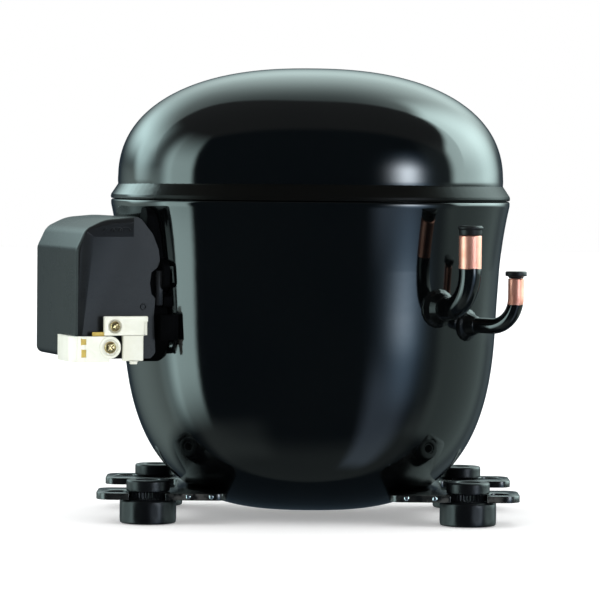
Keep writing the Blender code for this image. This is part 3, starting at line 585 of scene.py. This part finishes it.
# ------------------------------------------------------------------ base plates and grommets
def make_base():
    hx, hy = 82.55, 50.8
    half = rounded([(70.0, 0.0), (70.0, 28.0), (109.0, 28.0), (109.0, 63.0), (hx + 9.4, 63.0)],
                   [0, 3.5, 7.0, 9.0, 0], 6, closed=False)
    slot = arc(hx, hy, 9.4, 0, -180, 24)
    arm = rounded([(hx - 9.4, 63.0), (42.0, 63.0), (42.0, 30.0), (50.0, 0.0)], [0, 6.0, 4.0, 0], 6, closed=False)
    upper = half + slot + arm
    lower = [(x, -y) for x, y in reversed(upper[1:-1])]
    shape = upper + lower
    for name, node, sx in (("base_left", "base_plate_left", -1), ("base_right", "base_plate_right", 1)):
        mesh = outline([[(sx * x, y) for x, y in shape]], 12.5, 16.0)
        cuts = [bowl_solid(0.3)]
        for sy in (-1, 1):
            cuts.append(moved(turned([(0, -4), (5.6, -4), (5.6, 4), (0, 4)], 40), sx * 98.0, sy * 50.0, 14.2))
        own(combine(mesh, cuts, bevel=0.7, seg=3, angle=35), name, PLATE, "housing", [node], sharp=50)
    # small weld beads along the front edges; their bright bare-metal colour is a painted highlight, standing in for the
    # glints along these edges
    for i, x in enumerate((-61.5, -49.6, 50.5, 65.0)):
        blob = turned(rounded([(0, 0.6), (0.9, 0.45), (1.35, 0.0), (1.3, -0.6), (0, -0.6)], [0, 0.5, 0.5, 0.1, 0], 4, closed=False), 28,
                      None, lambda a, r, z: 0.12 * math.sin(3 * a + x))
        turned_to(blob, Matrix.Rotation(math.radians(90), 4, "X"))
        own(moved(blob, x, -63.0, 14.4), f"weld_nub_painted_highlight_{i + 1}", WELD_PAINTED_HIGHLIGHT, "housing", ["base_plate_left" if x < 0 else "base_plate_right"])
    ribs = 30

    def ribbed(a, r, z):
        return 0.42 * math.cos(a * ribs) if 12.7 < z < 16.1 and r > 8.0 else 0.0

    def cushion(a, r, z):
        return 0.10 * math.cos(a * 12) if 1.5 < z < 11 and r > 14 else ribbed(a, r, z)

    body = rounded([(6.05, 0), (14.5, 0), (14.5, 12.2), (9.0, 12.2), (9.0, 16.35), (11.2, 16.35), (11.2, 22.2), (6.05, 22.2)],
                   [0.6, 1.0, 1.1, 0.3, 0.3, 0.5, 1.0, 0.6], 4)
    more = []
    for a, b in zip(body, body[1:] + body[:1]):
        more.append(a)
        if abs(b[1] - a[1]) > 2 and a[0] > 8:
            more += [(a[0] + (b[0] - a[0]) * k / 6, a[1] + (b[1] - a[1]) * k / 6) for k in range(1, 6)]
    sleeve = rounded([(5.7, 1.0), (5.7, 21.6), (4.3, 21.6), (4.3, 1.0)], 0.3, 2)
    for fb, sy in (("front", -1), ("rear", 1)):
        for lr, sx in (("left", -1), ("right", 1)):
            at = (sx * hx, sy * hy, 0)
            own(moved(turned(more, 240, None, cushion), *at), f"rubber_foot_{fb}_{lr}", RUBBER, "housing", [f"grommet_{fb}_{lr}"])
            own(moved(turned(sleeve, 64), *at), f"steel_sleeve_{fb}_{lr}", DULL_ZINC, "housing", [f"grommet_sleeve_{fb}_{lr}"])


# ------------------------------------------------------------------ connector tubes
def make_tube(name, body, slot_z, spec, plug):
    od, x, side, z, run, bend, top = spec
    p, n = wall_point(x, side, z)
    r = od / 2
    pts = [p - n * 6.0, p + n * 1.0]
    if run - bend > 2:
        pts.append(p + n * (run - bend))
    for i in range(1, 20):
        a = math.radians(90 * i / 20)
        pts.append(p + n * (run - bend + bend * math.sin(a)) + Vector((0, 0, bend * (1 - math.cos(a)))))
    foot = p + n * run
    z1 = z + bend
    for i in range(0, 9):
        pts.append(Vector((foot.x, foot.y, z1 + (top - 0.4 - z1) * i / 8)))
    pts.append(Vector((foot.x, foot.y, top)))
    radii = [r] * (len(pts) - 1) + [r - 0.35]
    tube = swept(pts, radii, 48)
    m = copper_and_paint(slot_z)
    own(tube, f"{name}_outside", m, "housing", [f"{name}_tube"])
    turn = n.to_track_quat("Z", "Y").to_matrix().to_4x4()
    collar = rounded([(r - 0.5, -5.0), (r + 4.6, -5.0), (r + 4.3, 0.6), (r + 2.0, 2.2), (r + 0.5, 6.4), (r - 0.5, 6.9)],
                     [0, 0, 1.8, 2.4, 1.0, 0], 6)
    collar = turned(collar, 72, None, lambda a, rr, zz: 0.10 * math.sin(a * 17) + 0.07 * math.sin(a * 29 + 1) if rr > r + 1 else 0.0)
    turned_to(collar, turn)
    own(moved(collar, p.x, p.y, p.z), f"{name}_collar", BRAZE, "housing", [f"{name}_tube"])
    head, h = (r + 0.7, 5.0) if od > 10 else (r + 1.45, 3.6)
    lip = [(0, top + h), (head - 0.4, top + h), (head, top + h - 0.4), (head, top + 1.3), (r - 0.1, top + 1.0), (r - 0.3, top + 0.2), (r - 1.6, top + 0.2), (r - 1.9, top - 6), (0, top - 7)]
    if od > 10:
        lip = [(0, top + h - 0.5), (r - 2.4, top + h - 0.5), (r - 1.6, top + h), (head - 0.8, top + h), (head, top + h - 0.8), (head, top + h - 1.3),
               (r + 0.1, top + h - 2.2), (r - 0.1, top + 0.25), (r - 1.6, top + 0.2), (r - 1.9, top - 6), (0, top - 7)]
    own(moved(turned(rounded(lip, [0] + [0.3] * (len(lip) - 2) + [0], 3, closed=False), 64), foot.x, foot.y, 0), f"{name}_stopper", PLUG, body, [plug])


# ------------------------------------------------------------------ terminal box
def make_box():
    # frame behind the cover
    ring_out = rounded([(-34.9, 83.5), (28, 83.5), (34.9, 94), (34.9, 162.5), (-6, 162.5), (-15, 157.2), (-34.9, 155.0)], [4, 5, 3, 5, 5, 5, 6], 6)
    ring_in = rounded([(-27, 101), (27, 101), (27, 141), (-27, 141)], 3.0, 5)
    up = Matrix(((0, 0, 1, 0), (1, 0, 0, 0), (0, 1, 0, 0), (0, 0, 0, 1)))
    plate = turned_to(outline([ring_out, ring_in], 84.0, 100.9), up)
    loop = turned_to(outline([rounded([(33.2, 118.6), (40.8, 122.4), (40.8, 133.6), (33.2, 137.4)], [0, 2, 2, 0], 4)], 90.5, 94.0), up)
    eye = cuboid(88, 99, 36.9, 39.3, 123.6, 132.4)
    hook = turned_to(outline([rounded([(33.2, 111.6), (38.0, 111.6), (38.0, 117.0), (36.6, 118.4), (33.2, 118.4)], [0, 1, 1, 1, 0], 3)], 88.4, 92.8), up)
    catch = cuboid(86.4, 95.8, 32.6, 43.0, 95.0, 108.0)
    trim = bowl_solid(0.3)
    trim.transform(BOX.inverted() @ AXIS)
    mesh = combine(plate, [loop, hook, catch], "UNION")
    mesh = combine(mesh, [eye, trim], bevel=0.45, seg=2, angle=40)
    own(mesh, "box_frame", FENCE, "housing", ["terminal_fence"], BOX)

    # cover: blank with its big corner radii, hollowed, then the recessed side panels and the small features
    z0, z1 = 85.5, 157.8
    crown = rounded([(X1, z0 + 20), (X1, 141.2), (X1 - 5.0, 151.6), (X1 - 15.5, 156.6), (X1 - 29.0, z1), (X1 - 32.5, z1)], [0, 7.0, 9.0, 22.0, 40.0, 0], 8, closed=False)
    side = [(96.5, z0 + 3), (99.0, z0), (X1, z0)] + crown + [(106.5, z1), (104.2, 156.6), (98.1, 148.9), (95.0, 141.1), (94.0, 132.8), (98.8, 129.6),
            (99.6, 124.0), (98.8, 118.6), (96.6, 116.2), (97.4, 108.0)]
    blank = turned_to(outline([side], -39.0, 39.0), STAND)
    obj = link_temp(blank)
    mod = obj.modifiers.new("corner", "BEVEL")
    mod.width = 3.6 * MM
    mod.segments = 9
    mod.limit_method = "ANGLE"
    mod.angle_limit = math.radians(62)
    bpy.context.view_layer.update()
    blank = baked(obj)
    inner = [(80, 82), (101.2, 82), (101.2, z0 + 2), (X1 - 2.2, z0 + 2), (X1 - 2.2, 139.5), (X1 - 4.0, 145.0), (X1 - 6.9, 149.3), (X1 - 11.2, 152.1),
             (X1 - 17.6, 154.2), (X1 - 26.2, 155.4), (101.2, 155.4), (101.2, 162), (80, 162)]
    hollow = turned_to(outline([inner], -35.2, 35.2), STAND)
    cord_way = cuboid(112, 132, 4, 32, z0 - 3, z0 + 4)
    cuts = [hollow, cord_way]
    for sy in (1, -1):
        a, b = sy * 39.4, sy * 36.5
        at = [(138.9, 78.0), (138.5, 153.6), (109.0, 156.0), (100.0, 156.0), (80.0, 156.0), (80.0, 78.0)]
        deep = [(137.9, 78.0), (129.4, 147.6), (109.0, 147.6), (100.0, 147.6), (80.0, 147.6), (80.0, 78.0)]
        cuts.append(hull([(x, a, z) for x, z in at] + [(x, b, z) for x, z in deep]))
        cuts.append(hull([(109.4, a, 168.0), (108.6, b, 168.0), (80.0, a, 168.0), (80.0, b, 168.0),
                          (109.4, a, 120.0), (108.6, b, 120.0), (80.0, a, 120.0), (80.0, b, 120.0)]))
    mesh = combine(blank, cuts, bevel=0.3, seg=2, angle=19)
    own(mesh, "box_cover", COVER, "cover", ["terminal_cover"], BOX, sharp=16)
    # stiffening arcs moulded into the top corner and the small ejector ring on the side panel
    for i in range(3):
        x = 113.5 + i * 4.2
        rib = swept([(x + 3.2 * math.cos(math.radians(a)), 37.75, 149.6 + 3.0 * math.sin(math.radians(a))) for a in range(20, 161, 14)], 0.55, 12)
        own(rib, f"cover_rib_{i + 1}", COVER, "cover", ["terminal_cover"], BOX)
    ring = turned(rounded([(1.0, 0), (1.0, 0.7), (1.7, 0.7), (1.7, 0)], 0.2, 3), 32)
    own(moved(turned_to(ring, TO_Y), 103.2, 36.35, 112.0), "cover_ring", COVER, "cover", ["terminal_cover"], BOX)
    latch = soften(cuboid(93.2, 96.6, 35.6, 38.0, 112.6, 130.4), 0.5, 2)
    own(latch, "cover_latch", COVER, "cover", ["terminal_cover"], BOX)

    # cord clamp
    y0, y1 = 39.3, 42.6
    upper = cuboid(102.4, 125.4, y0, y1, 97.6, 107.4)
    leg = cuboid(104.6, 115.4, y0, y1 - 0.6, 84.6, 98.4)
    foot = cuboid(107.6, 111.4, y0, y1 - 1.0, 82.9, 85.4)
    mesh = combine(upper, [leg, foot], "UNION")
    dish = moved(turned_to(turned([(0, -1), (3.4, -1), (3.4, 3), (0, 3)], 40), TO_Y), 119.9, y1 - 0.7, 102.3)
    notch = cuboid(101, 104.3, y1 - 1.1, y1 + 2, 96, 104.4)
    mesh = combine(mesh, [dish, notch], bevel=0.55, seg=3, angle=40)
    own(mesh, "clamp_body", NYLON, "cover", ["cord_clamp_body"], BOX)
    x1 = X1 + 0.3
    band = rounded([(x1, 11.4), (x1 + 1.9, 11.4), (x1 + 2.75, 35.0), (136.0, y0 + 3.4), (122.4, y0 + 2.3), (122.4, y0), (x1, y0)], [0.4, 0.6, 1.6, 1.6, 0.2, 0.2, 0.2], 6)
    strap = outline([band], 84.2, 97.2)
    boss = moved(turned_to(turned(rounded([(0, 0.2), (5.7, 0.2), (5.7, 3.4), (4.3, 3.4), (3.9, 2.7), (0, 2.7)], [0, 0.3, 0.6, 0.2, 0.2, 0], 4, closed=False), 64), TO_Y), 122.4, y0, 91.6)
    win1 = cuboid(134.9, 137.3, y0 + 1.6, y0 + 5.0, 93.0, 96.0)
    win2 = cuboid(134.9, 137.1, y0 + 1.6, y0 + 5.0, 86.6, 90.6)
    mesh = combine(combine(strap, [boss], "UNION"), [win1, win2], bevel=0.5, seg=3, angle=45)
    own(mesh, "clamp_strap", NYLON, "cover", ["cord_clamp_strap"], BOX)
    inset = merged(cuboid(134.7, 137.5, y0 + 1.3, y0 + 2.1, 92.8, 96.2), cuboid(134.7, 137.3, y0 + 1.3, y0 + 2.1, 86.4, 90.8))
    own(soften(inset, 0.2, 2), "clamp_pad", YELLOW, "cover", ["cord_clamp_strap"], BOX)
    pad = soften(cuboid(123.8, 131.4, y0 + 0.1, y0 + 1.7, 97.3, 99.4), 0.5, 2)
    own(pad, "clamp_liner", YELLOW, "cover", ["cord_clamp_body"], BOX)
    for key, (x, z, head, shank, y) in {"lower": (122.4, 91.6, 3.1, 1.5, y0 + 2.9), "upper": (119.9, 102.3, 2.6, 1.3, y1 - 0.5)}.items():
        screw = turned(rounded([(0, y + 2.1), (head * 0.5, y + 1.95), (head * 0.88, y + 1.25), (head, y + 0.4), (head, y), (shank, y), (shank, y - 8.0), (0, y - 9.0)],
                               [0, 1.2, 0.6, 0.3, 0.2, 0.1, 0.2, 0], 4, closed=False), 48)
        cross = [cuboid(-head * 0.62, head * 0.62, -0.36, 0.36, y + 0.9, y + 3), cuboid(-0.36, 0.36, -head * 0.62, head * 0.62, y + 0.9, y + 3)]
        screw = combine(screw, cross, bevel=0.10, seg=2, angle=50)
        screw.transform(Matrix.Rotation(math.radians(45 if key == "lower" else 20), 4, "Z"))
        own(moved(turned_to(screw, TO_Y), x, 0, z), f"clamp_screw_head_{key}", SCREW, "cover", [f"cord_clamp_screw_{key}"], BOX)


make_casing()
make_base()
make_tube("suction", "suction_cap", 133.5, (11.5, 65.6, -1, 112.5, 27.0, 19.0, 150.1), "suction_plug")
make_tube("discharge", "discharge_cap", 114.9, (8.0, 81.0, -1, 103.5, 31.0, 15.0, 128.2), "discharge_plug")
make_tube("process", "process_cap", 117.0, (8.0, -45.0, 1, 104.0, 14.5, 9.0, 134.0), "process_plug")
make_box()

# ------------------------------------------------------------------ nodes that keep their CAD shape
KEPT = {
    ZINC: ["terminal_cup"],
    GLASS: ["terminal_insulator"],
    STEEL: ["terminal_pin_common", "terminal_pin_run", "terminal_pin_start", "crankshaft", "crank_pin", "wrist_pin", "piston", "oil_pickup",
            "thrust_washer", "rotor_counterweight", "valve_plate", "suction_reed", "discharge_reed", "head_bolt_1", "head_bolt_2", "head_bolt_3",
            "head_bolt_4"],
    FENCE: ["start_relay", "overload_protector"],
    CAST: ["cylinder_block"],
    LAMINATED: ["stator_core", "rotor"],
    WINDING: ["upper_end_winding", "lower_end_winding"],
    ALUMINIUM: ["cylinder_head", "connecting_rod"],
    MUFFLER: ["suction_muffler"],
    GASKET: ["head_gasket"],
}
for mat, names in KEPT.items():
    for n in names:
        NODES[n].data.materials.clear()
        NODES[n].data.materials.append(mat)
# the suspension springs: steel copies of the CAD coils, carried on the housing
for side in ("front_left", "front_right", "rear_left", "rear_right"):
    node = NODES[f"suspension_spring_{side}"]
    spring = bpy.data.objects.new(f"coil_spring_{side}", node.data.copy())
    bpy.context.scene.collection.objects.link(spring)
    spring.matrix_world = node.matrix_world.copy()
    spring.data.materials.clear()
    spring.data.materials.append(STEEL)
    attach(spring, "housing")
    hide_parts(node.name)
    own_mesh(spring)
LINE = finish("drawn_copper_line", (0.90, 0.50, 0.36), (0.62, 0.28, 0.17), (0.2, 0.34), metal=1.0, scale=150.0)
NODES["discharge_line"].data.materials.clear()
NODES["discharge_line"].data.materials.append(LINE)

# ------------------------------------------------------------------ stage, light and camera
bm = bmesh.new()
bmesh.ops.create_grid(bm, x_segments=24, y_segments=24, size=6.0)
floor_mesh = bpy.data.meshes.new("studio_floor")
bm.to_mesh(floor_mesh)
bm.free()
floor = bpy.data.objects.new("studio_floor", floor_mesh)
bpy.context.scene.collection.objects.link(floor)
floor.location.z = -0.0004
m, t, b = new_material("pale_floor")
t.put(b.inputs["Base Color"], t.mix(t.step(t.noise(3.0, 3.0), 0.3, 0.7), rgb(0.90, 0.90, 0.90), rgb(0.93, 0.93, 0.93)))
b.inputs["Roughness"].default_value = 0.9
b.inputs["Specular IOR Level"].default_value = 0.05
b.inputs["Emission Color"].default_value = rgb(1, 1, 1)
b.inputs["Emission Strength"].default_value = 0.30
floor.data.materials.append(m)
floor.visible_glossy = False

world = bpy.data.worlds.new("studio")
bpy.context.scene.world = world
world.use_nodes = True
world.node_tree.nodes.clear()
w = Tree(world.node_tree)
sky = w.node("ShaderNodeSeparateXYZ", Vector=w.node("ShaderNodeTexCoord").outputs["Generated"]).outputs
to_front = w.math("MULTIPLY", sky[1], -1.0)
DEG = 180.0 / math.pi
az = w.math("MULTIPLY", w.math("ARCTAN2", sky[0], to_front), DEG)         # 0 towards the camera, 90 to the right
el = w.math("MULTIPLY", w.math("ARCSINE", sky[2]), DEG)
over = w.math("MULTIPLY", w.math("ARCTAN2", sky[2], to_front), DEG)       # round over the top, from the front
down = w.math("MULTIPLY", w.math("ARCTAN2", w.math("MULTIPLY", sky[2], -1.0), to_front), DEG)


def times(*parts):
    out = parts[0]
    for p in parts[1:]:
        out = w.math("MULTIPLY", out, p)
    return out


def bell(x, middle, width):
    d = w.math("DIVIDE", w.math("SUBTRACT", x, middle), width)
    return w.math("EXPONENT", w.math("MULTIPLY", w.math("MULTIPLY", d, d), -0.5))


def both(x, a0, a1, b0, b1):
    """One between a1 and b0, fading to nothing at a0 and b1."""
    return times(w.step(x, a0, a1), w.step(x, b0, b1, 1.0, 0.0))


# soft boxes as the glossy enamel sees them: (tint, how bright in each direction)
left_edge = w.step(az, -61.0, -55.5, 1.0, 0.0)
above = w.step(el, -3.0, 3.0)
below = w.math("SUBTRACT", 1.0, above)
edge = w.math("SUBTRACT", over, w.step(sky[0], -0.45, 0.05, 114.0, 102.5))     # where the bright ceiling begins
PANELS = [
    ((0.62, 0.95, 1.25), 0.052),
    # tall panel at the left, a darker gap, then the bright side wall behind it
    ((0.74, 1.0, 0.98), times(both(az, -90.0, -76.0, -60.5, -55.5), w.step(el, 10.0, 48.0, 1.0, 0.0), w.step(el, -40.0, -12.0), 5.2)),
    ((0.72, 1.0, 1.0), times(both(az, -100.0, -84.0, -80.0, -74.0), w.step(el, 14.0, 48.0, 1.0, 0.0), w.step(el, -38.0, -20.0), 1.5)),
    ((0.72, 1.0, 1.0), times(both(az, -172.0, -122.0, -112.0, -90.0), w.step(el, 21.0, 49.0, 1.0, 0.0),
                              w.step(w.math("ADD", el, w.step(az, -130.0, -114.0, -12.0, 0.0)), -9.0, 13.0), 4.9)),
    ((0.78, 1.0, 0.95), times(both(az, -164.0, -106.0, -96.0, -80.0), w.step(el, -38.0, -28.0), w.step(el, 0.0, 10.0, 1.0, 0.0), 1.25)),
    # soft lamp at the right front with its long fall-off down the flank
    ((0.90, 0.98, 1.05), times(bell(az, 42.8, 5.6), bell(el, 5.5, 6.4), 14.0)),
    ((0.60, 0.98, 1.42), times(bell(az, 45.0, 7.4), w.step(el, -34.0, -6.0), w.step(el, 4.0, 34.0, 1.0, 0.0), 1.2)),
    ((0.72, 0.95, 1.25), times(both(az, 19.0, 30.0, 42.0, 60.0), both(el, -74.0, -60.0, -24.0, -4.0), 0.62)),
    ((0.62, 0.97, 1.30), times(bell(az, 45.0, 8.0), bell(el, -6.5, 3.0), 0.75)),
    # right side wall
    ((0.76, 1.0, 0.98), times(w.step(az, 74.0, 84.0), w.step(az, 116.0, 156.0, 1.0, 0.0), w.step(el, -5.5, 2.5),
                              w.step(w.math("SUBTRACT", el, w.math("MINIMUM", w.math("MULTIPLY", w.math("SUBTRACT", az, 84.0), 0.95), 26.0)), 27.0, 37.0, 1.0, 0.0), 6.2)),
    ((0.76, 1.0, 0.92), times(both(az, 66.0, 78.0, 128.0, 146.0), w.step(el, -42.0, -34.0), below, 0.34)),
    ((0.80, 1.0, 1.0), times(both(az, 52.0, 62.0, 150.0, 170.0), w.step(el, -44.0, -36.0), w.step(el, 24.0, 44.0, 1.0, 0.0), 0.16)),
    # ceiling behind the lamp line, and the darker ceiling before it
    ((0.80, 1.0, 0.97), times(w.step(edge, -2.0, 2.0), w.step(el, 3.0, 30.0), w.step(el, 40.0, 78.0, 1.0, 0.30),
                              w.math("ADD", w.step(sky[0], -0.35, 0.0, 1.15, 1.9), w.math("MULTIPLY", w.step(sky[0], 0.0, 0.6), 1.0)))),
    ((1.05, 1.0, 0.88), times(w.step(over, 54.0, 64.0), w.step(edge, -2.0, 2.0, 1.0, 0.0), 0.11)),
    # the pale sheet under the part, seen low on the bowl
    ((0.85, 1.0, 0.92), times(both(down, 42.0, 62.0, 84.0, 98.0), both(az, -84.0, -66.0, 66.0, 84.0), 0.17)),
    ((0.85, 1.0, 0.95), times(both(az, -78.0, -66.0, -30.0, -12.0), both(el, -66.0, -50.0, -40.0, -30.0), 0.16)),
]
total = None
for tint, level in PANELS:
    part = w.node("ShaderNodeVectorMath")
    part.operation = "SCALE"
    w.put(part.inputs[0], tint)
    w.put(part.inputs["Scale"], level)
    if total is None:
        total = part.outputs[0]
    else:
        add = w.node("ShaderNodeVectorMath")
        w.put(add.inputs[0], total)
        w.put(add.inputs[1], part.outputs[0])
        total = add.outputs[0]
boxes = w.node("ShaderNodeBackground", Color=total, Strength=1.0)
soft = w.node("ShaderNodeBackground", Color=rgb(1, 1, 1), Strength=1.0)
pick = w.node("ShaderNodeMixShader")
w.put(pick.inputs[0], w.node("ShaderNodeLightPath").outputs["Is Glossy Ray"])
w.put(pick.inputs[1], soft.outputs[0])
w.put(pick.inputs[2], boxes.outputs[0])
w.put(w.node("ShaderNodeOutputWorld").inputs["Surface"], pick.outputs[0])
world.cycles.sampling_method = "MANUAL"
world.cycles.sample_map_resolution = 512

lamp_data = bpy.data.lights.new("overhead_soft", "SUN")
lamp_data.energy = 0.45
lamp_data.angle = math.radians(70)
lamp = bpy.data.objects.new("overhead_soft", lamp_data)
bpy.context.scene.collection.objects.link(lamp)
lamp.matrix_world = Matrix.Rotation(math.radians(12), 4, "X") @ Matrix.Rotation(math.radians(-14), 4, "Y")
lamp.visible_glossy = False

cam_data = bpy.data.cameras.new("camera")
cam = bpy.data.objects.new("camera", cam_data)
bpy.context.scene.collection.objects.link(cam)
eye = Vector(((-5.0 + OX) * MM, -1.950, 0.185))
aim = Vector(((-5.0 + OX) * MM, 0.0, 0.1136))
cam.matrix_world = Matrix.Translation(eye) @ (aim - eye).to_track_quat("-Z", "Y").to_matrix().to_4x4() @ Matrix.Rotation(math.radians(0.5), 4, "Z")
cam_data.sensor_width = 36.0
cam_data.lens = 3691.0 / 600.0 * 36.0
cam_data.clip_end = 50.0
bpy.context.scene.camera = cam
bpy.context.scene.view_settings.view_transform = "Standard"
